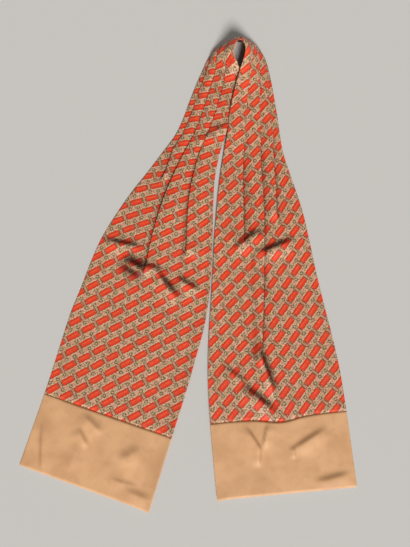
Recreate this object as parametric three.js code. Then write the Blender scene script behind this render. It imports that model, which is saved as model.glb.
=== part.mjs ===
// A silk day cravat laid out front up on a flat surface: two wide printed blades with plain ends,
// drawn in by knife pleats to a narrow neckband that stands up in a small loop at the centre back.
// Millimetres, +Z up. The cloth rests on z = 0, the blades point to -Y and the loop to +Y.

import * as THREE from "three";

// Driving dimensions
const WALL = 1.0; // one layer of silk with its interlining
const GAP = 0.3; // between two pieces, at a seam or face to face
const LAYER = WALL + GAP; // from one layer of cloth to the next
const END_DEPTH = 79; // plain band, from hem to seam
const NECK_HALF = 150; // neckband, from the centre back to where the blade fans out
const FOLD_RADIUS = LAYER / 2; // bend of the cloth's middle at a pleat's fold
const FOLD_POINTS = 3; // steps round each of a pleat's two folds
const HIDDEN_SHARE = 0.4; // of a pleat's visible strip, how much is folded under it
const FULL_DEPTH_AT = 0.5; // share of the way to the neckband at which a pleat is at its deepest
const PLEAT_FADE = 45; // length over which an opened pleat flattens out
const PLEAT_CLEAR = 0.9; // from a fold to where the cloth beside it starts to rise
const OPEN_STEP = 2.0; // spread of a pleat's points where it lies open
const STRIP_STEPS = 3; // steps across the cloth between two pleats
const FLAT_STEPS = 3; // steps across a back that lies flat
const LOOP_STEPS = 8; // steps across a back that twists round the loop
const END_STEPS = 12; // steps across the front of a plain end
const CROWN = 0.8; // how far a front stands off its back, half way across
const BLADE_STEP = 13.5; // between sections of a blade
const NECK_STEP = 6.5; // between sections of the neckband, on average
const NECK_CROWDING = 1.5; // how much closer its sections are at the centre back
const LABEL_STEP = 2.6; // between sections of the label
const END_STEP = 11; // between sections of a plain end
const LABEL_LENGTH = 34; // along the neckband
const LABEL_FROM = 9; // from the neckband's upper edge to the label
const LABEL_WIDTH = 23; // down the neckband
const LABEL_GAP = 0.6; // from the neckband to the label, which bridges its curve
const CURVE_DIVISIONS = 2000; // steps in which the strip's length is measured
const MITRE_FLOOR = 0.6; // keeps a wall from running out to a point at a sharp bend

// Rows of a table as objects, by column name.
function table(columns, rows) {
  return rows.map((row) => Object.fromEntries(columns.map((name, i) => [name, row[i]])));
}

// The strip from the left hem round the loop to the right hem, a row for each section.
// x and y: its middle in plan. width: from inner to outer edge. turn: the way from the inner
// to the outer edge, in degrees from +X. tilt: how far the inner edge is raised, in degrees.
const STRIP = table(
  ["x", "y", "width", "turn", "tilt"],
  [
    [-130, -232.5, 148, 161.3, 0],
    [-106.8, -158, 148, 161.6, 0],
    [-93.5, -113.5, 149.5, 161.6, 0],
    [-81.4, -71, 150, 162, 0],
    [-71, -37.5, 147, 164.5, 0],
    [-63, -3.5, 140.5, 166.8, 0],
    [-55.8, 29.5, 129.5, 169, 0],
    [-47.3, 61, 113.5, 171, 0],
    [-38.3, 90, 96.5, 172.5, 0],
    [-27.8, 117, 79, 172.5, 0],
    [-16.5, 142.8, 66, 172, 0],
    [-6.8, 163.2, 58.5, 173, 0.5],
    [1.7, 185.2, 56.5, 175, 2.4],
    [9.4, 209.2, 55.5, 174.5, 4.3],
    [15.6, 229.8, 52.5, 172, 7.8],
    [20, 247.3, 47.5, 164, 17.5],
    [21.8, 264.1, 43.5, 141, 43],
    [30.3, 274.5, 41, 112, 53],
    [41.5, 279.5, 41, 86, 57],
    [53, 274, 41, 62, 50],
    [58.8, 261.5, 41.5, 35, 39.5],
    [59.6, 244, 43.5, 14, 27.5],
    [59, 227.2, 48, 8, 18],
    [58.4, 210.8, 53, 4, 12.6],
    [58.2, 191.2, 58.5, 0, 8.4],
    [58.2, 167, 63.5, 0, 4.6],
    [57.8, 146, 70, 1.5, 1],
    [58.7, 124.5, 79.3, 2.5, 0],
    [61, 99, 90.4, 2.5, 0],
    [63.8, 68, 101.9, 2.3, 0],
    [65.8, 34, 110.9, 2.1, 0],
    [68, 0, 118.5, 1.9, 0],
    [70.6, -36, 128, 1.9, 0],
    [73.2, -71.5, 137.8, 2.9, 0],
    [76.5, -112.5, 146.3, 4.3, 0],
    [80.4, -158.1, 149.6, 5.2, 0],
    [88, -237.6, 150.3, 5.2, 0],
  ],
);
const CENTRE_BACK_ROW = 18;

// Knife pleats of each half, a row for each, from the inner edge out. neck and blade: the share of
// the width at which its fold lies, on the neckband and where it opens. opens: from the hem to there.
const PLEATS = {
  left: table(
    ["neck", "blade", "opens"],
    [
      [0.36, 0.24, 266],
      [0.63, 0.55, 245],
      [0.86, 0.75, 362],
    ],
  ),
  right: table(
    ["neck", "blade", "opens"],
    [
      [0.33, 0.31, 300],
      [0.62, 0.42, 160],
      [0.85, 0.7, 325],
    ],
  ),
};

// The largest creases, each a soft ridge (rise > 0) or trough along a straight line in plan.
const CREASES = table(
  ["fromX", "fromY", "toX", "toY", "reach", "rise"],
  [
    [-108, 33, -72, 16, 9, 2.6],
    [-96, 22, -70, 2, 6, -2.4],
    [-66, 14, -48, 2, 9, 2.0],
    [-52, -4, -36, -18, 6, -2.2],
    [-40, 0, -22, -14, 9, 2.2],
    [34, 30, 58, 50, 8, 2.0],
    [60, 14, 92, 30, 6, -2.2],
    [64, 26, 96, 42, 8, 2.2],
    [60, -96, 72, -122, 6, -2.4],
    [70, -88, 84, -116, 9, 2.2],
    [48, -122, 68, -142, 7, -2.0],
    [44, -104, 58, -126, 9, 2.0],
    [-128, -166, -100, -190, 9, 1.2],
    [56, -176, 64, -208, 8, 1.4],
    [98, -186, 122, -174, 8, 1.4],
  ],
);

const FINISHES = {
  print: { color: 0xbb6a4c, roughness: 0.55, metalness: 0 },
  plain: { color: 0xd0a077, roughness: 0.5, metalness: 0 },
  label: { color: 0x15161a, roughness: 0.8, metalness: 0 },
};

const place = new THREE.CatmullRomCurve3(
  STRIP.map((row) => new THREE.Vector3(row.x, row.y, 0)),
  false,
  "catmullrom",
);
const form = new THREE.CatmullRomCurve3(
  STRIP.map((row) => new THREE.Vector3(row.width, row.turn, row.tilt)),
  false,
  "catmullrom",
);
place.arcLengthDivisions = CURVE_DIVISIONS;
const STRIP_LENGTH = place.getLength();
const CENTRE_BACK_SHARE = CENTRE_BACK_ROW / (STRIP.length - 1);
const CENTRE_BACK = place.getLengths()[Math.round(CURVE_DIVISIONS * CENTRE_BACK_SHARE)];

const { clamp, degToRad, lerp, smoothstep } = THREE.MathUtils;

// The section at a distance along the strip: its inner edge, its width, and its across and up ways.
function sectionAt(station) {
  const t = place.getUtoTmapping(0, station);
  const middle = place.getPoint(t);
  const shape = form.getPoint(t);
  const width = shape.x;
  const turn = degToRad(shape.y);
  const tilt = degToRad(Math.max(shape.z, 0));
  const across = new THREE.Vector3(
    Math.cos(turn) * Math.cos(tilt),
    Math.sin(turn) * Math.cos(tilt),
    -Math.sin(tilt),
  );
  middle.z = (width / 2) * Math.sin(tilt);
  const inner = middle.addScaledVector(across, -width / 2);
  const up = new THREE.Vector3().crossVectors(place.getTangent(t), across).normalize();
  return { station, width, inner, across, up };
}

// A point of a section, u across from its inner edge and h up from its underside.
function pointAt(section, u, h) {
  return section.inner.clone().addScaledVector(section.across, u).addScaledVector(section.up, h);
}

// Height of the creases at a point in plan.
function creaseHeight(x, y) {
  let height = 0;
  for (const crease of CREASES) {
    const runX = crease.toX - crease.fromX;
    const runY = crease.toY - crease.fromY;
    const share = ((x - crease.fromX) * runX + (y - crease.fromY) * runY) / (runX ** 2 + runY ** 2);
    const near = clamp(share, 0, 1);
    const away = Math.hypot(x - crease.fromX - near * runX, y - crease.fromY - near * runY);
    height += crease.rise * Math.exp(-((away / crease.reach) ** 2));
  }
  return height;
}

// How far the front's middle line lies above the section's underside.
function frontHeight(section, u) {
  const point = pointAt(section, u, 0);
  const crown = CROWN * Math.sin(Math.PI * clamp(u / section.width, 0, 1));
  return LAYER + WALL / 2 + Math.max(crown + creaseHeight(point.x, point.y), 0);
}

// A pleat at one section: where its fold lies, how much is folded under, and how far it is folded.
function pleatAt(pleat, section, fromHem, before) {
  const neckFrom = CENTRE_BACK - NECK_HALF;
  const gathered = clamp((fromHem - pleat.opens) / (neckFrom - pleat.opens), 0, 1);
  const edge = section.width * lerp(pleat.blade, pleat.neck, gathered);
  const folded = smoothstep(fromHem, pleat.opens - PLEAT_FADE, pleat.opens);
  const hidden = HIDDEN_SHARE * (edge - before) * Math.min(gathered / FULL_DEPTH_AT, 1);
  return { edge, hidden, folded, angle: Math.PI * folded };
}

// The middle line of a pleated front across one section, from its inner to its outer edge.
function frontLine(section, pleats, fromHem) {
  const line = [];
  const add = (u, lift) => line.push({ u, h: frontHeight(section, u) + lift });
  let start = 0;
  let before = 0;
  for (const row of pleats) {
    const { edge, hidden, folded, angle } = pleatAt(row, section, fromHem, before);
    const drop = 2 * FOLD_RADIUS * (1 - Math.cos(angle)) + hidden * Math.sin(angle);
    const top = edge - FOLD_RADIUS * Math.sin(Math.min(angle, Math.PI / 2));
    const spread = (1 - folded) * OPEN_STEP;
    const riseEnd = top - hidden - FOLD_RADIUS - PLEAT_CLEAR - 2 * spread;
    for (let i = 0; i <= STRIP_STEPS; i += 1) {
      const share = i / STRIP_STEPS;
      add(lerp(start, riseEnd, share), drop * smoothstep(share, 0, 1));
    }
    for (let i = 0; i < FOLD_POINTS; i += 1) {
      const bend = (angle * i) / (FOLD_POINTS - 1);
      const out = FOLD_RADIUS * Math.sin(bend) + spread * (i - FOLD_POINTS + 0.5);
      add(top + out, drop - FOLD_RADIUS * (1 - Math.cos(bend)));
    }
    const under = top + FOLD_RADIUS * Math.sin(angle) + hidden * Math.cos(angle);
    for (let i = 0; i < FOLD_POINTS; i += 1) {
      const bend = angle * (1 - i / (FOLD_POINTS - 1));
      const out = FOLD_RADIUS * (Math.sin(angle) - Math.sin(bend)) + spread * (i + 0.5);
      add(under + out, FOLD_RADIUS * (1 - Math.cos(bend)));
    }
    start = edge + PLEAT_CLEAR + spread * FOLD_POINTS;
    before = edge;
  }
  for (let i = 0; i <= STRIP_STEPS; i += 1) {
    add(lerp(start, section.width, i / STRIP_STEPS), 0);
  }
  return line;
}

// A line of even steps across one section at one height.
function plainLine(from, to, steps, height) {
  return Array.from({ length: steps + 1 }, (_, i) => {
    const u = lerp(from, to, i / steps);
    return { u, h: height(u) };
  });
}

// The two faces of a wall on a middle line, half the wall to each side along mitred normals.
function wallSection(section, line) {
  const top = [];
  const bottom = [];
  line.forEach(({ u, h }, i) => {
    const back = line[Math.max(i - 1, 0)];
    const next = line[Math.min(i + 1, line.length - 1)];
    const into = new THREE.Vector2(u - back.u, h - back.h).normalize();
    const out = new THREE.Vector2(next.u - u, next.h - h).normalize();
    const way = into.clone().add(out).normalize();
    const mitre = 1 / Math.max(way.dot(i > 0 ? into : out), MITRE_FLOOR);
    const offset = (WALL / 2) * mitre;
    top.push(pointAt(section, u - way.y * offset, h + way.x * offset));
    bottom.push(pointAt(section, u + way.y * offset, h - way.x * offset));
  });
  return { top, bottom };
}

// A closed wall through its sections, with its edges and its two ends.
function wallGeometry(sections) {
  const count = sections[0].top.length;
  const points = sections.flatMap(({ top, bottom }) => [...top, ...bottom]);
  const topOf = (s, i) => 2 * count * s + i;
  const bottomOf = (s, i) => topOf(s, i) + count;
  const faces = [];
  const quad = (a, b, c, d) => faces.push(a, b, c, a, c, d);
  const end = sections.length - 1;
  const edge = count - 1;
  for (let s = 0; s < end; s += 1) {
    for (let i = 0; i < edge; i += 1) {
      quad(topOf(s, i), topOf(s + 1, i), topOf(s + 1, i + 1), topOf(s, i + 1));
      quad(bottomOf(s, i), bottomOf(s, i + 1), bottomOf(s + 1, i + 1), bottomOf(s + 1, i));
    }
    quad(topOf(s, 0), bottomOf(s, 0), bottomOf(s + 1, 0), topOf(s + 1, 0));
    quad(topOf(s, edge), topOf(s + 1, edge), bottomOf(s + 1, edge), bottomOf(s, edge));
  }
  for (let i = 0; i < edge; i += 1) {
    quad(topOf(0, i), topOf(0, i + 1), bottomOf(0, i + 1), bottomOf(0, i));
    quad(topOf(end, i), bottomOf(end, i), bottomOf(end, i + 1), topOf(end, i + 1));
  }
  const geometry = new THREE.BufferGeometry().setFromPoints(points);
  geometry.setIndex(faces);
  geometry.computeVertexNormals();
  return geometry;
}

// Distances from one to another, about a step apart and crowded towards the second.
function distances(from, to, step, crowding = 1) {
  const count = Math.ceil((to - from) / step);
  return Array.from({ length: count + 1 }, (_, i) => lerp(to, from, (1 - i / count) ** crowding));
}

const cravat = new THREE.Group();
cravat.name = "cravat";

// A named piece: a wall through its sections, on the middle line that lineOf gives for each.
function addPiece(name, finish, sections, lineOf) {
  const geometry = wallGeometry(sections.map((section) => wallSection(section, lineOf(section))));
  const piece = new THREE.Mesh(geometry, new THREE.MeshStandardMaterial(finish));
  piece.name = name;
  cravat.add(piece);
}

const flatBack = (steps) => (section) => plainLine(0, section.width, steps, () => WALL / 2);

const plainFront = (section) => plainLine(0, section.width, END_STEPS, (u) => frontHeight(section, u));

// Each half in order from its hem: the plain end, the printed blade and its part of the neckband.
const HALVES = { left: { hem: 0, inward: 1 }, right: { hem: STRIP_LENGTH, inward: -1 } };
for (const [side, { hem, inward }] of Object.entries(HALVES)) {
  const half = side === "left" ? CENTRE_BACK : STRIP_LENGTH - CENTRE_BACK;
  const stretch = (from, to, step, crowding) => {
    const stations = distances(from, to, step, crowding).map((along) => hem + inward * along);
    return stations.sort((a, b) => a - b).map((station) => sectionAt(station));
  };
  const end = stretch(0, END_DEPTH - GAP / 2, END_STEP);
  const blade = stretch(END_DEPTH + GAP / 2, half - NECK_HALF - GAP / 2, BLADE_STEP);
  const neck = stretch(half - NECK_HALF + GAP / 2, half - GAP / 2, NECK_STEP, NECK_CROWDING);
  const pleats = PLEATS[side];
  const pleatedFront = (section) => frontLine(section, pleats, Math.abs(section.station - hem));
  addPiece(`${side}_end_back`, FINISHES.plain, end, flatBack(FLAT_STEPS));
  addPiece(`${side}_end_front`, FINISHES.plain, end, plainFront);
  addPiece(`${side}_blade_back`, FINISHES.print, blade, flatBack(FLAT_STEPS));
  addPiece(`${side}_blade_front`, FINISHES.print, blade, pleatedFront);
  addPiece(`${side}_neck_back`, FINISHES.print, neck, flatBack(LOOP_STEPS));
  addPiece(`${side}_neck_front`, FINISHES.print, neck, pleatedFront);
}

// The label lies inside the loop, against the neckband's back.
const labelSections = distances(
  CENTRE_BACK - LABEL_LENGTH / 2,
  CENTRE_BACK + LABEL_LENGTH / 2,
  LABEL_STEP,
).map((station) => sectionAt(station));
const labelHeight = () => -LABEL_GAP - WALL / 2;
const labelLine = plainLine(LABEL_FROM, LABEL_FROM + LABEL_WIDTH, LOOP_STEPS, labelHeight);
addPiece("label", FINISHES.label, labelSections, () => labelLine);

// The origin is at the middle of the whole, on the surface it rests on.
const extent = new THREE.Box3().setFromObject(cravat);
const centre = extent.getCenter(new THREE.Vector3());
for (const piece of cravat.children) {
  piece.geometry.translate(-centre.x, -centre.y, -extent.min.z);
}

export default cravat;
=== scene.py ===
# %% [markdown]
# # A silk day cravat, laid out on a table
# The cravat is one long strip of printed silk with a plain silk band at each end. It lies front
# up with its two blades spread, and its narrow pleated middle stands up in a small loop. The
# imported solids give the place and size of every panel, so they are loaded first and are never
# moved.

# %% Load the frame
import math
from bisect import bisect_right
from collections import namedtuple
from functools import lru_cache

import bmesh
import bpy
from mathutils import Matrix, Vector, noise


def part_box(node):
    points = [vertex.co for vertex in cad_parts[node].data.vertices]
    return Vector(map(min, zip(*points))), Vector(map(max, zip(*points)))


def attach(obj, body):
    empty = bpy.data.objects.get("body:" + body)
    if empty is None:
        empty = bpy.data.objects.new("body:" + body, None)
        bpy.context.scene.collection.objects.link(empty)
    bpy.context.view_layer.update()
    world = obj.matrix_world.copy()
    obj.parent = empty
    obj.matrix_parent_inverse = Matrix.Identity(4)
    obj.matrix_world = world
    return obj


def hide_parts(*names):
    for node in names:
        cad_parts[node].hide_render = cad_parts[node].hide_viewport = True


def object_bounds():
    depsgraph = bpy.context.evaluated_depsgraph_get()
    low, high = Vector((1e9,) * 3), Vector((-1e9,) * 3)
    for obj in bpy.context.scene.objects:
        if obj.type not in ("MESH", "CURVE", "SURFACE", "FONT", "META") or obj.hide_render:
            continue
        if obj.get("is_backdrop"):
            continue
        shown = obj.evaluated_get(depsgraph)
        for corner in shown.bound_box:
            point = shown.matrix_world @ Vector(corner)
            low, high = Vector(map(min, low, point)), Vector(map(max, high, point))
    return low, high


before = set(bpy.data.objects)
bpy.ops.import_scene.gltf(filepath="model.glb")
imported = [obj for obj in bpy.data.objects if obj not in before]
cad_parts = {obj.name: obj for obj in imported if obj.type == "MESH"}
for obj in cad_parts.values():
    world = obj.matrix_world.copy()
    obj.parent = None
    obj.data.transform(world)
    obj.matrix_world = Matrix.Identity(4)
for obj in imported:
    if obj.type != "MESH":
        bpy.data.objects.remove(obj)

CAD_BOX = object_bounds()
print("solids:", sorted(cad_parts))

# %% [markdown]
# ## The strip
# A maker would describe this cravat by its width at marks along its length. The table does the
# same: each row is one section across the strip, from the left hem round the loop to the right
# hem. It gives the section's middle in plan, its width, the way it runs from the inner to the
# outer edge, and how far its inner edge is raised. These are the sizes of the solids, in
# millimetres and degrees.

# %% Sections across the strip
MM = 0.001
Row = namedtuple("Row", "x y width turn tilt")
STRIP = [
    Row(*sizes)
    for sizes in (
        (-130, -232.5, 148, 161.3, 0),
        (-106.8, -158, 148, 161.6, 0),
        (-93.5, -113.5, 149.5, 161.6, 0),
        (-81.4, -71, 150, 162, 0),
        (-71, -37.5, 147, 164.5, 0),
        (-63, -3.5, 140.5, 166.8, 0),
        (-55.8, 29.5, 129.5, 169, 0),
        (-47.3, 61, 113.5, 171, 0),
        (-38.3, 90, 96.5, 172.5, 0),
        (-27.8, 117, 79, 172.5, 0),
        (-16.5, 142.8, 66, 172, 0),
        (-6.8, 163.2, 58.5, 173, 0.5),
        (1.7, 185.2, 56.5, 175, 2.4),
        (9.4, 209.2, 55.5, 174.5, 4.3),
        (15.6, 229.8, 52.5, 172, 7.8),
        (20, 247.3, 47.5, 164, 17.5),
        (21.8, 264.1, 43.5, 141, 43),
        (30.3, 274.5, 41, 112, 53),
        (41.5, 279.5, 41, 86, 57),
        (53, 274, 41, 62, 50),
        (58.8, 261.5, 41.5, 35, 39.5),
        (59.6, 244, 43.5, 14, 27.5),
        (59, 227.2, 48, 8, 18),
        (58.4, 210.8, 53, 4, 12.6),
        (58.2, 191.2, 58.5, 0, 8.4),
        (58.2, 167, 63.5, 0, 4.6),
        (57.8, 146, 70, 1.5, 1),
        (58.7, 124.5, 79.3, 2.5, 0),
        (61, 99, 90.4, 2.5, 0),
        (63.8, 68, 101.9, 2.3, 0),
        (65.8, 34, 110.9, 2.1, 0),
        (68, 0, 118.5, 1.9, 0),
        (70.6, -36, 128, 1.9, 0),
        (73.2, -71.5, 137.8, 2.9, 0),
        (76.5, -112.5, 146.3, 4.3, 0),
        (80.4, -158.1, 149.6, 5.2, 0),
        (88, -237.6, 150.3, 5.2, 0),
    )
]
CENTRE_BACK_ROW = 18
print(len(STRIP), "sections from hem to hem")

# %% [markdown]
# ## A smooth curve through the rows
# Straight lines between the rows would show as corners in the outline. A Catmull-Rom curve passes
# through every row and keeps its slope from one stretch to the next, so it suits a measured
# table. The lengths along the middle line then turn a distance from the hem into a place in the
# table.

# %% Read the table anywhere along the strip
def curve_value(before, start, end, after, t):
    bend = 2 * before - 5 * start + 4 * end - after
    twist = 3 * (start - end) + after - before
    return start + 0.5 * t * (end - before + t * (bend + t * twist))


def row_at(place):
    last = len(STRIP) - 1
    place = min(max(place, 0), last)
    i = min(int(place), last - 1)
    start, end = STRIP[i], STRIP[i + 1]
    before = STRIP[i - 1] if i > 0 else [2 * a - b for a, b in zip(start, end)]
    after = STRIP[i + 2] if i + 2 <= last else [2 * b - a for a, b in zip(start, end)]
    return Row(*(curve_value(*four, place - i) for four in zip(before, start, end, after)))


ROW_STEPS = 56
PLACES = [i / ROW_STEPS for i in range((len(STRIP) - 1) * ROW_STEPS + 1)]
STATIONS = [0.0]
for here, there in zip(PLACES, PLACES[1:]):
    a, b = row_at(here), row_at(there)
    STATIONS.append(STATIONS[-1] + math.hypot(b.x - a.x, b.y - a.y))
STRIP_LENGTH = STATIONS[-1]
CENTRE_BACK = STATIONS[CENTRE_BACK_ROW * ROW_STEPS]
print(f"hem to hem {STRIP_LENGTH:.0f} mm, centre back at {CENTRE_BACK:.0f} mm")

# %% [markdown]
# ## A frame for each section
# To fold cloth it helps to think in the section's own directions: across the strip, along it, and
# up out of its face. Every point of the cravat is then a distance u from the inner edge and a
# height h over the underside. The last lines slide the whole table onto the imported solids.

# %% Directions and points of a section
Section = namedtuple("Section", "station width inner across along up")


def place_at(station):
    i = min(max(bisect_right(STATIONS, station) - 1, 0), len(STATIONS) - 2)
    share = (station - STATIONS[i]) / (STATIONS[i + 1] - STATIONS[i])
    return (i + share) / ROW_STEPS


@lru_cache(maxsize=None)
def section_at(station):
    place = place_at(station)
    row = row_at(place)
    turn, tilt = math.radians(row.turn), math.radians(max(row.tilt, 0))
    flat = math.cos(tilt)
    across = Vector((math.cos(turn) * flat, math.sin(turn) * flat, -math.sin(tilt)))
    middle = Vector((row.x, row.y, row.width / 2 * math.sin(tilt)))
    behind, ahead = row_at(place - 0.01), row_at(place + 0.01)
    along = Vector((ahead.x - behind.x, ahead.y - behind.y, 0)).normalized()
    up = along.cross(across).normalized()
    return Section(station, row.width, middle - across * row.width / 2, across, along, up)


def point_at(section, u, h):
    return section.inner + section.across * u + section.up * h


hem = section_at(0.0)
left_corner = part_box("left_end_back")[0] / MM
SHIFT = Vector((left_corner.x - point_at(hem, hem.width, 0).x, left_corner.y - hem.inner.y, 0))
print("table to frame:", [round(v, 2) for v in SHIFT], "mm")

# %% [markdown]
# ## The knife pleats
# Three pleats on each side draw the wide blade in to the narrow neckband. A knife pleat is a Z in
# the cloth: over the fold, back underneath, and out again. Each row says at what share of the
# width the fold lies, on the neckband and where the pleat opens, how far from the hem it opens,
# and how deep it still is there: a pleat that is let go at once, while deep, leaves a small
# pocket.

# %% The pleats of each side
Pleat = namedtuple("Pleat", "neck blade opens pocket")
PLEATS = {
    "left": [Pleat(0.36, 0.24, 284, 3.0), Pleat(0.63, 0.55, 254, 8.0), Pleat(0.86, 0.75, 368, 1.5)],
    "right": [Pleat(0.33, 0.31, 286, 2.0), Pleat(0.62, 0.42, 150, 2.5), Pleat(0.85, 0.7, 315, 2.0)],
}
HEM = {"left": 0.0, "right": STRIP_LENGTH}
NECK_HALF = 150
NECK_FROM = CENTRE_BACK - NECK_HALF
HIDDEN_SHARE = 0.4
FULL_DEPTH_AT = 0.5
PLEAT_FADE = 22

Fold = namedtuple("Fold", "edge hidden folded")


def ease(value, low, high):
    share = min(max((value - low) / (high - low), 0), 1)
    return share * share * (3 - 2 * share)


def distance_from_hem(side, section):
    return abs(section.station - HEM[side])


def folds_at(side, section):
    from_hem = distance_from_hem(side, section)
    folds, before = [], 0.0
    for pleat in PLEATS[side]:
        drawn_in = min(max((from_hem - pleat.opens) / (NECK_FROM - pleat.opens), 0), 1)
        edge = (pleat.blade + (pleat.neck - pleat.blade) * drawn_in) * section.width
        folded = ease(from_hem, pleat.opens - PLEAT_FADE, pleat.opens)
        depth = HIDDEN_SHARE * (edge - before) * min(drawn_in / FULL_DEPTH_AT, 1)
        folds.append(Fold(edge, max(depth, pleat.pocket) * folded * folded, folded))
        before = edge
    return folds


print({side: len(rows) for side, rows in PLEATS.items()}, "pleats")

# %% [markdown]
# ## The creases
# The photo shows where the silk has been handled: a pocket where a pleat runs out, diagonal drags
# below it, and a few dents near the seams. A cloth simulation would put its folds where it likes,
# so each crease is listed as a soft ridge along a short line in plan, with the real reach to each
# side and the real height, all in millimetres. In the photo the steep side of a crease is darker
# than a soft lamp makes it here, so it also gets a shade from 0 to 1, which the finish paints as a
# darker tone.

# %% Creases, listed one by one
Crease = namedtuple("Crease", "from_x from_y to_x to_y left right rise")
CREASES = [
    Crease(*sizes)
    for sizes in (
        # the left blade: the pocket, then the drags round it
        (-93, 13, -69, 0, 8, 8, 6.5),
        (-112, 36, -78, 29, 4.5, 10, 4.4),
        (-57, 0, -34, -28, 5.5, 9, 5.4),
        (-30, -8, -11, -20, 4.5, 8, 3.8),
        # the right blade: two steps with drags beside them
        (63, 21, 98, 36, 4.5, 10, 5.2),
        (36, 28, 66, 49, 5, 10, 4.6),
        (58, -86, 73, -128, 5, 10, 5.8),
        (43, -129, 72, -150, 5, 10, 4.8),
        (24, -109, 42, -121, 4, 8, 2.4),
        # the left half of the neckband
        (-4, 159, 27, 177, 4.5, 9, 2.9),
        (23, 194, 32, 219, 7, 3, 1.8),
        (22, 238, 36, 251, 3, 7, 2.2),
        # the right end
        (46, -172, 59, -191, 1.8, 5, 2.2),
        (68, -166, 64, -187, 5, 1.8, 2.2),
        (58, -190, 58, -207, 2, 5, 2.0),
        (98, -191, 127, -174, 3.5, 9, 2.2),
        (96, -190, 96, -200, 1.5, 3, 1.5),
        (123, -226, 152, -219, 4, 8, 1.9),
        # the left end
        (-131, -159, -115, -174, 4.5, 10, 2.0),
        (-137, -173, -129, -188, 3, 9, 1.9),
        (-136, -190, -144, -211, 3.5, 8, 1.6),
        (-176, -170, -175, -209, 8, 3, 1.8),
        (-90, -204, -72, -195, 7, 12, 1.9),
        (-84, -236, -62, -244, 5, 9, 1.7),
        (-99, -224, -76, -230, 2.5, 6, 0.8),
    )
]
CREASE_REACH = 3
RUN_OUT = 0.3
SHADED_AT = 6.5


def creases_near(x, y):
    """Each crease in reach: its height here, how far off it is, and if this is its steep side."""
    for crease in CREASES:
        run_x, run_y = crease.to_x - crease.from_x, crease.to_y - crease.from_y
        length = math.hypot(run_x, run_y)
        dx, dy = x - crease.from_x, y - crease.from_y
        along = (dx * run_x + dy * run_y) / length ** 2
        off = (run_x * dy - run_y * dx) / length
        reach = crease.left if off > 0 else crease.right
        if abs(along - 0.5) < 0.5 + RUN_OUT and abs(off) < CREASE_REACH * reach:
            taper = ease(along, -RUN_OUT, RUN_OUT) * ease(1 - along, -RUN_OUT, RUN_OUT)
            yield crease.rise * taper, abs(off) / reach, reach == min(crease.left, crease.right)


def crease_height(x, y):
    return sum(rise * math.exp(-off * off) for rise, off, _ in creases_near(x, y))


def crease_shade(x, y):
    """The steep side of a crease is painted darker, most where its slope is greatest."""
    shade = 0.0
    for rise, off, steep in creases_near(x, y):
        if steep:
            shade += rise / SHADED_AT * off * math.exp(0.5 - off * off) * math.sqrt(2)
    return min(shade, 1.0)


print(len(CREASES), "creases")

# %% [markdown]
# ## The lie of a panel
# Two layers of light silk never lie dead flat. The front stands off the back a little, more in
# the middle than at the pressed edges, and it ripples slightly. The inner edges are lifted by the
# pull of the standing loop. Noise gives the ripples: it is the same on every run.

# %% Heights of the two layers
BACK_LIE = 0.27
FRONT_LIE = 1.25
EDGE_LIE = 0.78
EDGE_ROLL = 2.2
CROWN = 1.0
INNER_LIFT = 2.4
INNER_REACH = 16
LIFT_FADE = 0.12
LOWEST_DIP = 0.3
RIPPLE = 0.35
RIPPLE_LENGTH = 26
RIPPLE_SEED = 3.7
FINE_RIPPLE = 0.12
FINE_LENGTH = 9
FINE_SEED = 9.1


def inner_lift(section, u):
    lift = INNER_LIFT * max(1 - u / INNER_REACH, 0) ** 2
    return lift * ease(section.across.z, -LIFT_FADE, 0.0)


def ripple(x, y):
    slow = noise.noise(Vector((x / RIPPLE_LENGTH, y / RIPPLE_LENGTH, RIPPLE_SEED)))
    fine = noise.noise(Vector((x / FINE_LENGTH, y / FINE_LENGTH, FINE_SEED)))
    return RIPPLE * slow + FINE_RIPPLE * fine


def front_lie(section, u, to_end):
    point = point_at(section, u, 0)
    share = min(max(u / section.width, 0), 1)
    crown = CROWN * math.sin(math.pi * share)
    loose = crown + crease_height(point.x, point.y) + ripple(point.x, point.y)
    to_edge = max(min(u, section.width - u, to_end), 0)
    pressed = math.sqrt(1 - (1 - min(to_edge / EDGE_ROLL, 1)) ** 2)
    full = max(FRONT_LIE + loose, FRONT_LIE - LOWEST_DIP)
    return EDGE_LIE + (full - EDGE_LIE) * pressed + inner_lift(section, u)


END_DEPTH = 79
SeamDip = namedtuple("SeamDip", "depth middle width")
SEAM_DIP = {"left": SeamDip(0.0, 60, 22), "right": SeamDip(5.0, 77, 22)}
DIP_REACH = 55


def seam_dip(side, section, u):
    """The seam's own wave: it sags towards the hem in one place."""
    dip = SEAM_DIP[side]
    away = abs(distance_from_hem(side, section) - END_DEPTH) / DIP_REACH
    sag = dip.depth * math.exp(-(((u - dip.middle) / dip.width) ** 2)) * max(1 - away, 0) ** 2
    return section.along * (-sag if side == "left" else sag)


print(f"front at {FRONT_LIE} mm over the table, its edges at {EDGE_LIE} mm")

# %% [markdown]
# ## The line of a pleated front
# Across one section the front is a single line: a strip that rises towards its fold, a half turn
# down, a short run back, a half turn out, and the next strip. Where the pleat has opened, the
# turn angle shrinks to nothing and the points spread out flat. The same number of points is used
# in every section, so neighbouring sections can be joined by a plain grid of faces. The fold
# lines of the photo are dark, so each point also has a shade, as on the creases. On the neckband
# they hardly show, so both the turn and its trace are smaller there.

# %% Points across a pleated front
FOLD_RADIUS = 0.75
FOLD_POINTS = 6
FOLD_CLEAR = 0.7
OPEN_SPREAD = 0.8
FOLD_TRACE = 2.2
SHADE_FROM, SHADE_TO = 0.3 * math.pi, 0.8 * math.pi
PRESSED_FROM, PRESSED_TO = NECK_FROM - 40, NECK_FROM + 30
NECK_TRACE = 0.15
NECK_PRESS = 0.4
STRIP_POINTS = 20
EDGE_POINTS = (0.0, 0.15, 0.5, 1.0, 1.6)


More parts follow.
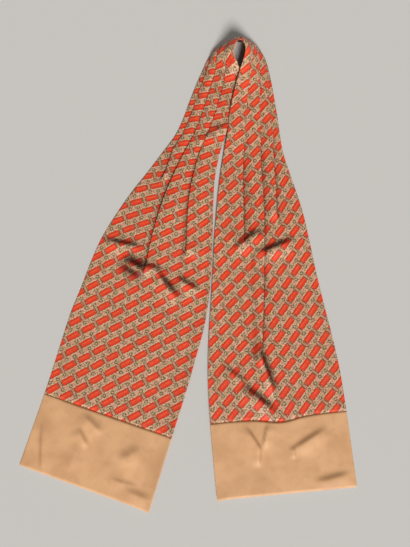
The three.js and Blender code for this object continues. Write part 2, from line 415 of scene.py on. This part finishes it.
def strip_points(start, end, last):
    """Points across a strip, closer together where it starts and where the last one ends."""
    points = [start + step for step in EDGE_POINTS]
    start = points.pop()
    tail = []
    if last:
        tail = [end - step for step in reversed(EDGE_POINTS)]
        end = tail.pop(0)
    points += [start + (end - start) * i / STRIP_POINTS for i in range(STRIP_POINTS + 1)]
    return points + tail


def fold_shade(fold, beyond, trace):
    """A fold line is painted dark, and that fades on the cloth beyond it."""
    return trace * fold.folded * math.exp(-beyond / FOLD_TRACE)


def pleated_line(side, section):
    """(u, lift, strip, shade) of each point from the inner to the outer edge."""
    line, start, past = [], 0.0, Fold(0.0, 0.0, 0.0)
    pressed = ease(distance_from_hem(side, section), PRESSED_FROM, PRESSED_TO)
    trace = 1 - (1 - NECK_TRACE) * pressed
    radius = FOLD_RADIUS * (1 - NECK_PRESS * pressed)
    for k, fold in enumerate(folds_at(side, section)):
        angle = math.pi * fold.folded
        drop = 2 * radius * (1 - math.cos(angle)) + fold.hidden * math.sin(angle)
        top = fold.edge - radius * math.sin(min(angle, math.pi / 2))
        run_back = top + radius * math.sin(angle) + fold.hidden * math.cos(angle)
        spread = (1 - fold.folded) * OPEN_SPREAD
        rise_end = top - fold.hidden - radius - FOLD_CLEAR - spread * FOLD_POINTS
        for u in strip_points(start, rise_end, False):
            lift = drop * ease(u, start, rise_end)
            line.append((u, lift, k, fold_shade(past, u - past.edge, trace)))
        for i in range(FOLD_POINTS):
            bend = angle * i / (FOLD_POINTS - 1)
            out = radius * math.sin(bend) + spread * (i - FOLD_POINTS + 0.5)
            shade = trace * fold.folded * ease(bend, SHADE_FROM, SHADE_TO)
            line.append((top + out, drop - radius * (1 - math.cos(bend)), k, shade))
        for i in range(FOLD_POINTS):
            bend = angle * (1 - i / (FOLD_POINTS - 1))
            out = radius * (math.sin(angle) - math.sin(bend)) + spread * (i + 0.5)
            line.append((run_back + out, radius * (1 - math.cos(bend)), k + 1, fold.folded))
        start, past = fold.edge + FOLD_CLEAR + spread * FOLD_POINTS, fold
    for u in strip_points(start, section.width, True):
        line.append((u, 0.0, len(PLEATS[side]), fold_shade(past, u - past.edge, trace)))
    return line


print(len(pleated_line("left", section_at(200.0))), "points across a pleated front")

# %% [markdown]
# ## How the print runs through the pleats
# The print was on the cloth before it was pleated, so each strip between two folds carries its
# own piece of it. To find where a strip lies on the flat cloth, it is walked from the seam up:
# every step adds its length along the threads and across them. Strips with no pleat between them
# yet are still one width of cloth, so they take the same steps. On the blade the threads run
# straight up. Above its pleat a strip's threads follow the strip, and on the neckband they are
# dragged round a little. A complex number is handy for a place on flat cloth: to turn it is to
# multiply it.

# %% Directions on a panel
TO_RIGHT = {"left": -1, "right": 1}


def turned(degrees):
    return complex(math.cos(math.radians(degrees)), math.sin(math.radians(degrees)))


def on_panel(side, section, move):
    """A move in space as right and up on the panel."""
    right = section.across * TO_RIGHT[side]
    return complex(move.dot(right), move.dot(section.up.cross(right)))


def on_cloth(side, section, way, move):
    """A move in space as a move on the flat cloth, its threads standing upright."""
    return 1j * on_panel(side, section, move) * way.conjugate()


print("up the cloth is", turned(90))

# %% The way of the threads
SEAM_WAY = {"left": 72, "right": 94}
SEAM_BLEND = (95, 150)
BLADE_WAY = {"left": (72, 72, 72, 72), "right": (90, 90, 98, 98)}
STRIP_TURN = {"left": (-9, -12, -6, -6), "right": (0, 4, 3, 3)}
NECK_TURN = {"left": -17, "right": 0}
PARTED_AT = {"left": (243, 226, 216, 216), "right": (263, 233, 233, 233)}
PARTING = 45
NECK_BLEND = 50


def thread_way(side, strips, section, run):
    """The way of the threads on the panel, where these strips run along the given line."""
    from_hem = distance_from_hem(side, section)
    line = on_panel(side, section, run)
    neck = ease(from_hem, NECK_FROM, NECK_FROM + NECK_BLEND)
    risen = ease(from_hem, *SEAM_BLEND)
    way = 0
    for k in strips:
        turn = STRIP_TURN[side][k] + (NECK_TURN[side] - STRIP_TURN[side][k]) * neck
        blade = turned(SEAM_WAY[side] + (BLADE_WAY[side][k] - SEAM_WAY[side]) * risen)
        blade = on_panel(side, section, Vector((blade.real, blade.imag, 0)))
        parted = ease(from_hem, PARTED_AT[side][k], PARTED_AT[side][k] + PARTING)
        way += (1 - parted) * blade + parted * turned(turn) * line / abs(line)
    return way / abs(way)


print("threads lean", SEAM_WAY, "degrees at the seams")

# %% Walk a strip up the cloth
Stop = namedtuple("Stop", "middle way place")
WAY_EASE = 12


def joined_strips(k, folds):
    """Strip k and the strips beside it that no pleat parts from it."""
    first = last = k
    while first > 0 and folds[first - 1].folded == 0:
        first -= 1
    while last < len(folds) and folds[last].folded == 0:
        last += 1
    return range(first, last + 1)


def middle_of(strips, section, folds):
    marks = [0.0, *(fold.edge for fold in folds), section.width]
    return (marks[strips[0]] + marks[strips[-1] + 1]) / 2


def walk_strip(side, k, sections, all_folds):
    """At each section: where strip k is held, its threads' way and its place on the flat cloth."""
    stops = []
    for i, section in enumerate(sections):
        strips = joined_strips(k, all_folds[i])

        def middle(j):
            return middle_of(strips, sections[j], all_folds[j])

        def centre(j):
            return point_at(sections[j], middle(j), 0)

        back, on = max(i - 1, 0), min(i + 1, len(sections) - 1)
        way = thread_way(side, strips, section, centre(on) - centre(back))
        if not stops:
            start = section_at(HEM[side])
            place = on_cloth(side, section, way, centre(0) - point_at(start, start.width / 2, 0))
        else:
            last = stops[-1]
            share = min(abs(section.station - sections[back].station) / WAY_EASE, 1)
            way = last.way + (way - last.way) * share
            way /= abs(way)
            sideways = sections[back].across * (middle(back) - last.middle)
            place = last.place + on_cloth(side, sections[back], last.way, sideways)
            place += on_cloth(side, section, way, centre(i) - centre(back))
        stops.append(Stop(middle(i), way, place))
    return stops


def cloth_at(side, section, stop, u):
    """The place on the flat cloth of a point u from the inner edge."""
    return stop.place + on_cloth(side, section, stop.way, section.across * (u - stop.middle))


print(f"a new way of the threads is taken up over {WAY_EASE} mm")

# %% [markdown]
# ## From a grid to a sheet of silk
# A cloth panel is a rectangle of faces bent into shape, so each one starts as Blender's own grid
# and its vertices are moved to the points worked out above. The UV map keeps every vertex's place
# on the flat cloth in metres, so the print follows the folds, and a second map keeps its shade.
# Solidify then gives the silk its thickness, which keeps the mesh light while it is being shaped.

# %% Make a sheet from a grid
SILK = 0.45


def make_sheet(name, points, flats, shade=None, thickness=SILK):
    """A sheet from rows of points in millimetres and their places on the flat cloth."""
    rows, columns = len(points), len(points[0])
    bm = bmesh.new()
    bmesh.ops.create_grid(bm, x_segments=rows - 1, y_segments=columns - 1, size=0.5)
    uv_map = bm.loops.layers.uv.new("FlatCloth")
    shade_map = bm.verts.layers.float.new("shade")
    spots = {}
    for vertex in bm.verts:
        i = round((vertex.co.x + 0.5) * (rows - 1))
        j = round((vertex.co.y + 0.5) * (columns - 1))
        spots[vertex] = (i, j)
    for vertex, (i, j) in spots.items():
        vertex.co = (points[i][j] + SHIFT) * MM
        vertex[shade_map] = shade[i][j] if shade else 0.0
    for face in bm.faces:
        face.smooth = True
        for loop in face.loops:
            i, j = spots[loop.vert]
            loop[uv_map].uv = (flats[i][j].real * MM, flats[i][j].imag * MM)
    mesh = bpy.data.meshes.new(name)
    bm.to_mesh(mesh)
    bm.free()
    sheet = bpy.data.objects.new(name, mesh)
    bpy.context.scene.collection.objects.link(sheet)
    wall = sheet.modifiers.new("Thickness", "SOLIDIFY")
    wall.thickness = thickness * MM
    wall.offset = 0
    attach(sheet, "root")
    print(f"{name}: {rows} x {columns} points")
    return sheet


def even(start, end, step):
    count = max(round(abs(end - start) / step), 1)
    return [start + (end - start) * i / count for i in range(count + 1)]


print(f"silk {SILK} mm thick")

# %% [markdown]
# ## The printed fronts
# The front of each half is one piece from the end seam up to the centre back, with its three
# pleats. Its rolled edges come down to meet the back, as a turned and pressed edge does. The
# cloth place runs to the right on both halves, so the bars of the print climb the same way on
# each.

# %% Shape the printed fronts
SEAM = 0.3
FRONT_STEP = 1.6
HALF = {"left": CENTRE_BACK, "right": STRIP_LENGTH - CENTRE_BACK}


def station_from_hem(side, distance):
    return distance if side == "left" else STRIP_LENGTH - distance


def sections_up(side, first, last, step):
    return [section_at(station_from_hem(side, d)) for d in even(first, last, step)]


def in_strip_order(side, rows):
    return rows if side == "left" else rows[::-1]


def shape_front(side):
    first, last = END_DEPTH + SEAM / 2, HALF[side] - SEAM / 2
    sections = sections_up(side, first, last, FRONT_STEP)
    folds = [folds_at(side, section) for section in sections]
    walks = [walk_strip(side, k, sections, folds) for k in range(len(PLEATS[side]) + 1)]
    points, flats, shades = [], [], []
    for i, section in enumerate(sections):
        from_hem = distance_from_hem(side, section)
        to_end = min(from_hem - first, last - from_hem)
        row, flat, shade = [], [], []
        for u, lift, k, fold_line in pleated_line(side, section):
            point = point_at(section, u, front_lie(section, u, to_end) + lift)
            row.append(point + seam_dip(side, section, u))
            flat.append(cloth_at(side, section, walks[k][i], u))
            shade.append(max(fold_line, crease_shade(point.x, point.y)))
        points.append(row)
        flats.append(flat)
        shades.append(shade)
    sheet = (in_strip_order(side, rows) for rows in (points, flats, shades))
    return make_sheet(f"{side}_printed_front", *sheet)


fronts = {side: shape_front(side) for side in PLEATS}

# %% [markdown]
# ## The printed backs
# The back of each half is the same silk without pleats, so a section needs only a few points. It
# is the layer that rests on the table, and round the loop it is the inside.

# %% Shape the printed backs
BACK_STEP = 3.0
BACK_POINTS = 24


def shape_back(side, name, first, last):
    sections = sections_up(side, first, last, BACK_STEP)
    walk = walk_strip(side, 0, sections, [[] for _ in sections])
    points, flats = [], []
    for section, stop in zip(sections, walk):
        row, flat = [], []
        for u in even(0.0, section.width, section.width / BACK_POINTS):
            point = point_at(section, u, BACK_LIE + inner_lift(section, u))
            row.append(point + seam_dip(side, section, u))
            flat.append(cloth_at(side, section, stop, u))
        points.append(row)
        flats.append(flat)
    return make_sheet(f"{side}_{name}", in_strip_order(side, points), in_strip_order(side, flats))


backs = {
    side: shape_back(side, "printed_back", END_DEPTH + SEAM / 2, HALF[side] - SEAM / 2)
    for side in PLEATS
}

# %% [markdown]
# ## The plain ends
# Each blade ends in a band of plain tan silk. It is seamed to the print, and the seam pulls the
# edge of both pieces down into a fine groove. Its hem and sides are rolled like the sides of the
# blade.

# %% Shape the plain ends
END_STEP = 1.3
FINER = 4


def shape_end(side):
    last = END_DEPTH - SEAM / 2
    points, flats, shades = [], [], []
    for section in sections_up(side, 0.0, last, END_STEP):
        from_hem = distance_from_hem(side, section)
        to_end = min(from_hem, last - from_hem)
        marks = strip_points(0.0, section.width, True)
        pairs = zip(marks, marks[1:])
        finer = [a + (b - a) * i / FINER for a, b in pairs for i in range(1, FINER)]
        row, flat, shade = [], [], []
        for u in sorted(marks + finer):
            point = point_at(section, u, front_lie(section, u, to_end))
            row.append(point + seam_dip(side, section, u))
            flat.append(complex(TO_RIGHT[side] * (u - section.width / 2), from_hem))
            shade.append(crease_shade(point.x, point.y))
        points.append(row)
        flats.append(flat)
        shades.append(shade)
    sheet = (in_strip_order(side, rows) for rows in (points, flats, shades))
    return make_sheet(f"{side}_plain_front", *sheet)


end_fronts = {side: shape_end(side) for side in PLEATS}
end_backs = {side: shape_back(side, "plain_back", 0.0, END_DEPTH - SEAM / 2) for side in PLEATS}

# %% [markdown]
# ## The label
# A dark woven patch is sewn inside the loop at the centre back. It follows the back's own points,
# moved inwards, and is left bare. Its two short ends are folded under, so they stand a little
# prouder.

# %% Shape the label
LABEL_LENGTH = 34
LABEL_FROM = 9
LABEL_WIDTH = 23
LABEL_LIE = -0.32
LABEL_THICK = 0.4
LABEL_STEPS = (0.7, 0.9)
FOLD_UNDER = 3.0
FOLD_EASE = 0.8
FOLD_PROUD = 0.3

label_points, label_flats = [], []
label_ends = (CENTRE_BACK - LABEL_LENGTH / 2, CENTRE_BACK + LABEL_LENGTH / 2)
for station in even(*label_ends, LABEL_STEPS[0]):
    section = section_at(station)
    to_end = LABEL_LENGTH / 2 - abs(station - CENTRE_BACK)
    lie = LABEL_LIE - FOLD_PROUD * (1 - ease(to_end, FOLD_UNDER, FOLD_UNDER + FOLD_EASE))
    downs = even(LABEL_FROM, LABEL_FROM + LABEL_WIDTH, LABEL_STEPS[1])
    label_points.append([point_at(section, u, lie) for u in downs])
    label_flats.append([complex(station - CENTRE_BACK, u) for u in downs])
label = make_sheet("label_patch", label_points, label_flats, thickness=LABEL_THICK)

# %% [markdown]
# ## Tools for a printed finish
# A print is a chart: for any point on the cloth, which colour is it? In Blender's shader nodes
# that chart is a chain of small sums on the UV map. These helpers add a few nodes each, so that
# the chart below reads as the sums themselves.

# %% Small node helpers
def srgb(*levels):
    shares = [level / 255 for level in levels]
    return (*(s / 12.92 if s <= 0.04045 else ((s + 0.055) / 1.055) ** 2.4 for s in shares), 1.0)


class Chart:
    """Adds nodes to one material, one call for each step of the chart."""

    def __init__(self, name):
        self.material = bpy.data.materials.new(name)
        self.material.use_nodes = True
        self.nodes = self.material.node_tree.nodes
        self.links = self.material.node_tree.links
        self.shader = self.nodes["Principled BSDF"]

    def feed(self, socket, value):
        if isinstance(value, bpy.types.NodeSocket):
            self.links.new(value, socket)
        else:
            socket.default_value = value

    def sum(self, operation, *values):
        node = self.nodes.new("ShaderNodeMath")
        node.operation = operation
        for socket, value in zip(node.inputs, values):
            self.feed(socket, value)
        return node.outputs[0]

    def step(self, value, low, high):
        """0 below low, 1 above high and smooth between. It falls where low is the larger."""
        node = self.nodes.new("ShaderNodeMapRange")
        node.interpolation_type = "SMOOTHSTEP"
        rising = low < high
        self.feed(node.inputs["Value"], value)
        node.inputs["From Min"].default_value = min(low, high)
        node.inputs["From Max"].default_value = max(low, high)
        node.inputs["To Min"].default_value = 0.0 if rising else 1.0
        node.inputs["To Max"].default_value = 1.0 if rising else 0.0
        return node.outputs["Result"]

    def mix(self, share, under, over, blend="MIX"):
        node = self.nodes.new("ShaderNodeMix")
        node.data_type = "RGBA"
        node.blend_type = blend
        for i, value in ((0, share), (6, under), (7, over)):
            self.feed(node.inputs[i], value)
        return node.outputs[2]

    def paint(self, colour, over, strength, *masks):
        """Lay one colour over another where every mask is 1."""
        share = strength
        for mask in masks:
            share = self.sum("MULTIPLY", mask, share)
        return self.mix(share, colour, over)

    def weigh(self, x, x_share, y, y_share):
        """A share of one distance and a share of another, added."""
        return self.sum("ADD", self.sum("MULTIPLY", x, x_share), self.sum("MULTIPLY", y, y_share))

    def nearest(self, value, pitch):
        """The nearest whole number of pitches, and what is left over."""
        count = self.sum("ROUND", self.sum("DIVIDE", value, pitch))
        return count, self.sum("SUBTRACT", value, self.sum("MULTIPLY", count, pitch))

    def length(self, x, y):
        return self.sum("SQRT", self.weigh(x, x, y, y))

    def band(self, value, start, end, soft):
        """1 from start to end, with soft sides."""
        rise, fall = self.step(value, start - soft, start), self.step(value, end + soft, end)
        return self.sum("MULTIPLY", rise, fall)

    def noise(self, vector, scale, detail=2.0):
        node = self.nodes.new("ShaderNodeTexNoise")
        node.inputs["Scale"].default_value = scale
        node.inputs["Detail"].default_value = detail
        self.feed(node.inputs["Vector"], vector)
        return node.outputs["Fac"]

    def cloth_place(self):
        """The UV map, and its two distances on the flat cloth in millimetres."""
        uv = self.nodes.new("ShaderNodeUVMap")
        uv.uv_map = "FlatCloth"
        split = self.nodes.new("ShaderNodeSeparateXYZ")
        self.links.new(uv.outputs[0], split.inputs[0])
        return (uv.outputs[0], *(self.sum("MULTIPLY", split.outputs[i], 1 / MM) for i in (0, 1)))

    def shade(self):
        node = self.nodes.new("ShaderNodeAttribute")
        node.attribute_name = "shade"
        return node.outputs["Fac"]

    def bump(self, height, strength, distance):
        node = self.nodes.new("ShaderNodeBump")
        node.inputs["Strength"].default_value = strength
        node.inputs["Distance"].default_value = distance
        self.feed(node.inputs["Height"], height)
        self.links.new(node.outputs[0], self.shader.inputs["Normal"])


# %% [markdown]
# ## The silk itself
# Both silks are twill: fine ribs run up the cloth at a steep slant, and the surface has a soft
# sheen. The ribs are far finer than a pixel of the photo, so they are only a light bump. Sheen,
# roughness and gloss are the same all over, so they are set straight on the shader.

# %% Twill ribs and sheen
RIB_PITCH = 1.1
RIB_SLANT = 1.7
RIB_SHARE = 0.5
SLUB_SCALE = 900.0
RIB_BUMP = 0.25
RIB_HEIGHT = 0.0001


def twill(chart, across, along, vector):
    slant = chart.sum("ADD", chart.sum("MULTIPLY", across, RIB_SLANT), along)
    wave = chart.sum("SINE", chart.sum("MULTIPLY", slant, 2 * math.pi / RIB_PITCH))
    slub = chart.noise(vector, SLUB_SCALE, 3.0)
    chart.bump(chart.weigh(wave, RIB_SHARE, slub, 1.0), RIB_BUMP, RIB_HEIGHT)


def silk_gloss(shader, roughness):
    shader.inputs["Roughness"].default_value = roughness
    shader.inputs["Specular IOR Level"].default_value = 0.22
    shader.inputs["Sheen Weight"].default_value = 0.06
    shader.inputs["Sheen Roughness"].default_value = 0.4


print(f"ribs every {RIB_PITCH} mm")

# %% [markdown]
# ## The print
# Red bars stand in slanting rows like bricks, about half a step apart from row to row, on a tan
# ground. Each bar has a broken dark outline and a paler line along it. The gap between two bars
# has a dark line at each side and beads down its middle, and a small olive ring stands at its
# head and at its foot. Specks and soft patches break up the ground, as they do on worn silk. A
# picture of the print would blur when seen close to. A chart of distances stays sharp at any
# size, so each mark is painted where its own distance is small. The sizes come from the repeat in
# the photo, in millimetres.

# %% Rows and bars of the print
BAR_SLANT = math.radians(46.2)
BAR_PITCH = 18.5
ROW_PITCH = 13.7
ROW_SHIFT = 8.9

chart = Chart("printed_silk")
vector, right, up = chart.cloth_place()
cos_slant, sin_slant = math.cos(BAR_SLANT), math.sin(BAR_SLANT)
along_rows = chart.weigh(right, cos_slant, up, sin_slant)
across_rows = chart.weigh(up, cos_slant, right, -sin_slant)
row, off_row = chart.nearest(across_rows, ROW_PITCH)


def from_bar_middle(row):
    """How far along this row the middle of its nearest bar is."""
    along = chart.sum("SUBTRACT", along_rows, chart.sum("MULTIPLY", row, ROW_SHIFT))
    return chart.sum("ABSOLUTE", chart.nearest(along, BAR_PITCH)[1])


bar_x, bar_y = from_bar_middle(row), chart.sum("ABSOLUTE", off_row)
print("repeat", BAR_PITCH, "x", ROW_PITCH, "mm")

# %% Distances to the bar, the rings and the beads
BAR_HALF = (6.5, 3.3)
BAR_CORNER = 0.9
RING_RISE = 6.3
BEAD_PITCH = 2.3
WANDER = 0.8
WANDER_SCALE = 420.0

drift = chart.sum("SUBTRACT", chart.noise(vector, WANDER_SCALE), 0.5)
wander = chart.sum("MULTIPLY", drift, WANDER)
past_x = chart.sum("MAXIMUM", chart.sum("SUBTRACT", bar_x, BAR_HALF[0] - BAR_CORNER), 0.0)
past_y = chart.sum("MAXIMUM", chart.sum("SUBTRACT", bar_y, BAR_HALF[1] - BAR_CORNER), 0.0)
from_bar = chart.sum("SUBTRACT", chart.length(past_x, past_y), BAR_CORNER)
from_bar = chart.sum("ADD", from_bar, wander)
gap_x = chart.sum("SUBTRACT", BAR_PITCH / 2, bar_x)
own_ring = chart.length(gap_x, chart.sum("SUBTRACT", bar_y, RING_RISE))
next_row = chart.sum("ADD", row, chart.sum("SIGN", off_row))
next_gap_x = chart.sum("SUBTRACT", BAR_PITCH / 2, from_bar_middle(next_row))
next_ring = chart.length(next_gap_x, chart.sum("SUBTRACT", bar_y, ROW_PITCH - RING_RISE))
from_ring = chart.sum("ADD", chart.sum("MINIMUM", own_ring, next_ring), wander)
from_bead = chart.length(gap_x, chart.nearest(off_row, BEAD_PITCH)[1])
print("bars", [2 * half for half in BAR_HALF], "mm")

# %% Colours of the ground
TAN = srgb(218, 166, 127)
PINK = srgb(228, 170, 142)
CREAM = srgb(246, 218, 184)
OLIVE_PALE = srgb(182, 158, 110)
OLIVE_DARK = srgb(62, 56, 38)
PATCH_SCALE = 170.0
GRAIN_SCALE = 620.0
EDGE_GLOW = (0.6, 1.1, 0.4)

patches = chart.noise(vector, PATCH_SCALE, 3.0)
grain = chart.noise(vector, GRAIN_SCALE, 1.0)
specks = chart.step(grain, 0.54, 0.6)
pale_specks = chart.step(grain, 0.46, 0.4)
colour = chart.mix(chart.step(patches, 0.5, 0.6), TAN, PINK)
colour = chart.paint(colour, OLIVE_PALE, 0.6, chart.step(patches, 0.48, 0.38))
colour = chart.paint(colour, OLIVE_DARK, 0.6, specks)
colour = chart.paint(colour, CREAM, 0.4, pale_specks)
beside = chart.step(bar_y, BAR_HALF[1] - 0.3, BAR_HALF[1] + 0.2)
colour = chart.paint(colour, CREAM, 0.4, chart.band(from_bar, *EDGE_GLOW), beside)
print("ground:", len(chart.nodes), "nodes")

# %% Marks in the gaps
BROWN = srgb(126, 62, 38)
BROWN_SOFT = srgb(200, 112, 76)
OLIVE = srgb(150, 138, 92)
GAP_HEIGHT = (4.0, 3.2)
GAP_FILL = (2.6, 1.8)
GAP_LINE = (1.4, 2.1, 0.35)
RING_PATCH = (3.0, 1.6)
RING_LINE = (1.2, 1.9, 0.5)
RING_EYE = (1.0, 0.3)
BEAD_SIZE = (1.0, 0.4)

in_gap = chart.step(bar_y, *GAP_HEIGHT)
colour = chart.paint(colour, BROWN_SOFT, 0.25, chart.step(gap_x, *GAP_FILL), in_gap)
colour = chart.paint(colour, BROWN, 0.9, chart.band(gap_x, *GAP_LINE), in_gap)
colour = chart.paint(colour, OLIVE, 0.6, chart.step(from_ring, *RING_PATCH))
broken = chart.step(grain, 0.42, 0.5)
colour = chart.paint(colour, OLIVE_DARK, 0.7, chart.band(from_ring, *RING_LINE), broken)
colour = chart.paint(colour, CREAM, 0.6, chart.step(from_ring, *RING_EYE))
beads = chart.step(from_bead, *BEAD_SIZE)
colour = chart.paint(colour, OLIVE_DARK, 0.5, beads, in_gap, pale_specks)
print("with the marks:", len(chart.nodes), "nodes")

# %% Colours of the bars
RED = srgb(234, 58, 30)
RED_BRIGHT = srgb(250, 78, 46)
RED_DEEP = srgb(198, 48, 26)
ORANGE = srgb(252, 150, 88)
PALE_LINE = 0.7
PALE_WIDTH = (0.5, 0.2)
PALE_ENDS = (5.6, 4.8)
OUTLINE = (0.75, 0.3)
WORN_SCALE = 330.0

red = chart.mix(chart.step(bar_y, 2.6, 0.8), RED, RED_BRIGHT)
red = chart.paint(red, RED_DEEP, 0.6, chart.step(from_bar, -1.0, -0.1))
from_line = chart.sum("ABSOLUTE", chart.sum("SUBTRACT", off_row, PALE_LINE))
pale_line = chart.step(from_line, *PALE_WIDTH)
worn = chart.step(chart.noise(vector, WORN_SCALE), 0.35, 0.6)
red = chart.paint(red, ORANGE, 0.6, pale_line, chart.step(bar_x, *PALE_ENDS), worn)
broken = chart.step(grain, 0.4, 0.52)
colour = chart.paint(colour, BROWN, 0.75, chart.step(from_bar, *OUTLINE), broken)
colour = chart.mix(chart.step(from_bar, 0.2, -0.1), colour, red)
print("with the bars:", len(chart.nodes), "nodes")

# %% Tone, painted shade, ribs and gloss of the print
CLOUD = srgb(140, 84, 58)
CLOUD_SCALE = 28.0
PRINT_SHADE = srgb(108, 84, 74)
PRINT_ROUGHNESS = 0.5

clouds = chart.step(chart.noise(vector, CLOUD_SCALE, 3.0), 0.3, 0.7)
colour = chart.paint(colour, CLOUD, 0.12, clouds)
# Painted shade: the shade map darkens fold lines and the steep sides of creases.
colour = chart.mix(chart.shade(), colour, PRINT_SHADE, "MULTIPLY")
chart.feed(chart.shader.inputs["Base Color"], colour)
twill(chart, right, up, vector)
silk_gloss(chart.shader, PRINT_ROUGHNESS)
printed_silk = chart.material
print("printed silk:", len(chart.nodes), "nodes")

# %% [markdown]
# ## The plain silk
# The ends are one colour, but worn silk is never even: it is paler where it has been pressed and
# has soft darker clouds where it has been handled. Three scales of noise give that, gently.

# %% Chart the plain silk
PLAIN = srgb(236, 182, 132)
PLAIN_DEEP = srgb(220, 166, 118)
PLAIN_CLOUD = srgb(200, 146, 102)
PLAIN_THREAD = srgb(242, 194, 150)
PLAIN_SHADE = srgb(168, 150, 132)
PLAIN_ROUGHNESS = 0.48

plain = Chart("plain_silk")
vector, right, up = plain.cloth_place()
unpressed = plain.step(plain.noise(vector, 34.0, 4.0), 0.35, 0.7)
handled = plain.step(plain.noise(vector, 95.0, 5.0), 0.5, 0.75)
threads = plain.step(plain.noise(vector, 1500.0, 2.0), 0.4, 0.7)
tan = plain.mix(unpressed, PLAIN, PLAIN_DEEP)
tan = plain.paint(tan, PLAIN_CLOUD, 0.35, handled)
tan = plain.paint(tan, PLAIN_THREAD, 0.25, threads)
# Painted shade: the shade map darkens the steep sides of creases.
tan = plain.mix(plain.shade(), tan, PLAIN_SHADE, "MULTIPLY")
plain.feed(plain.shader.inputs["Base Color"], tan)
twill(plain, right, up, vector)
silk_gloss(plain.shader, PLAIN_ROUGHNESS)
plain_silk = plain.material
print("plain silk:", len(plain.nodes), "nodes")

# %% [markdown]
# ## The label's tape
# A woven label has a close cross-rib and a slightly paler selvedge line along both long edges. It
# is nearly black all over.

# %% Chart the label's tape
TAPE_RIB = 0.6
TAPE_WEFT = 0.45
TAPE_DARK = srgb(7, 7, 9)
TAPE_LIGHT = srgb(18, 18, 22)
TAPE_EDGE = srgb(30, 30, 34)
SELVEDGE = (1.6, 1.2)

tape = Chart("woven_label")
vector, right, up = tape.cloth_place()
rib = tape.sum("SINE", tape.sum("MULTIPLY", right, 2 * math.pi / TAPE_RIB))
weft = tape.sum("SINE", tape.sum("MULTIPLY", up, 2 * math.pi / TAPE_WEFT))
weave = tape.sum("MULTIPLY", rib, weft)
black = tape.mix(tape.step(weave, -0.6, 0.6), TAPE_DARK, TAPE_LIGHT)
from_middle = tape.sum("ABSOLUTE", tape.sum("SUBTRACT", up, LABEL_FROM + LABEL_WIDTH / 2))
selvedge = tape.step(from_middle, *(LABEL_WIDTH / 2 - inset for inset in SELVEDGE))
black = tape.paint(black, TAPE_EDGE, 0.6, selvedge)
tape.feed(tape.shader.inputs["Base Color"], black)
tape.bump(weave, 0.3, 0.0001)
tape.shader.inputs["Roughness"].default_value = 0.8
tape.shader.inputs["Specular IOR Level"].default_value = 0.2
woven_label = tape.material
print("label tape:", len(tape.nodes), "nodes")

# %% [markdown]
# ## Give each piece its finish
# Every piece takes its finish, and the solids that it stands for are hidden.

for side in PLEATS:
    fronts[side].data.materials.append(printed_silk)
    backs[side].data.materials.append(printed_silk)
    end_fronts[side].data.materials.append(plain_silk)
    end_backs[side].data.materials.append(plain_silk)
    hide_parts(f"{side}_blade_front", f"{side}_neck_front")
    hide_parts(f"{side}_blade_back", f"{side}_neck_back")
    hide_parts(f"{side}_end_front")
    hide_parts(f"{side}_end_back")
label.data.materials.append(woven_label)
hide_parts("label")
print("finishes:", [finish.name for finish in (printed_silk, plain_silk, woven_label)])

# %% [markdown]
# ## Floor, light and camera
# A plain pale floor, one broad lamp from the near side and a dim sky show the silk without hard
# shadows. A sun lamp is as bright at the hems as at the loop, and its wide angle keeps it soft.
# The camera stands where the photo was taken from: nearly overhead, leaning back eight degrees
# from straight down.

# %% Floor
FLOOR_HALF = 3.0
FLOOR_TONE = srgb(214, 211, 206)

bm = bmesh.new()
bmesh.ops.create_grid(bm, x_segments=1, y_segments=1, size=FLOOR_HALF)
floor_mesh = bpy.data.meshes.new("floor")
bm.to_mesh(floor_mesh)
bm.free()
floor = bpy.data.objects.new("floor", floor_mesh)
bpy.context.scene.collection.objects.link(floor)
floor_finish = bpy.data.materials.new("floor_finish")
floor_finish.use_nodes = True
floor_shader = floor_finish.node_tree.nodes["Principled BSDF"]
floor_shader.inputs["Base Color"].default_value = FLOOR_TONE
floor_shader.inputs["Roughness"].default_value = 0.85
floor_mesh.materials.append(floor_finish)
floor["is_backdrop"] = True
print("floor", 2 * FLOOR_HALF, "m wide")

# %% Light and sky
KEY_FROM = Vector((0.15, -1.0, 0.8))
KEY_POWER = 3.25
KEY_SPREAD = math.radians(16)
SKY_TONE = (1.0, 0.98, 0.95, 1.0)
SKY_POWER = 0.2

light = bpy.data.lights.new("key", "SUN")
light.energy = KEY_POWER
light.angle = KEY_SPREAD
key = bpy.data.objects.new("key", light)
key.rotation_mode = "QUATERNION"
key.rotation_quaternion = (-KEY_FROM).to_track_quat("-Z", "Y")
bpy.context.scene.collection.objects.link(key)
sky = bpy.data.worlds.new("studio")
sky.use_nodes = True
sky_light = sky.node_tree.nodes["Background"]
sky_light.inputs["Color"].default_value = SKY_TONE
sky_light.inputs["Strength"].default_value = SKY_POWER
bpy.context.scene.world = sky
bpy.context.scene.view_settings.view_transform = "Standard"
print("lamp from", list(KEY_FROM))

# %% Camera
IMAGE_LONG_SIDE = 547
FOCAL_PIXELS = 430
ELEVATION = math.radians(82)
DISTANCE = 493.8
camera_data = bpy.data.cameras.new("camera")
camera_data.sensor_width = 36.0
camera_data.lens = camera_data.sensor_width * FOCAL_PIXELS / IMAGE_LONG_SIDE
camera_data.clip_start = 0.01
camera = bpy.data.objects.new("camera", camera_data)
back_off = Vector((0, -math.cos(ELEVATION), math.sin(ELEVATION)))
camera.location = (SHIFT + back_off * DISTANCE) * MM
camera.rotation_mode = "QUATERNION"
camera.rotation_quaternion = (-back_off).to_track_quat("-Z", "Y")
bpy.context.scene.collection.objects.link(camera)
bpy.context.scene.camera = camera
print("camera at", [round(v, 3) for v in camera.location])

# %% [markdown]
# ## The size of the cravat
# The dressed cravat should fill the same box as the solids. The sizes of both boxes are printed,
# so they can be compared.

boxes = {"cad": CAD_BOX, "visual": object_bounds()}
for name, (low, high) in boxes.items():
    print(name, [round(v, 4) for v in high - low])
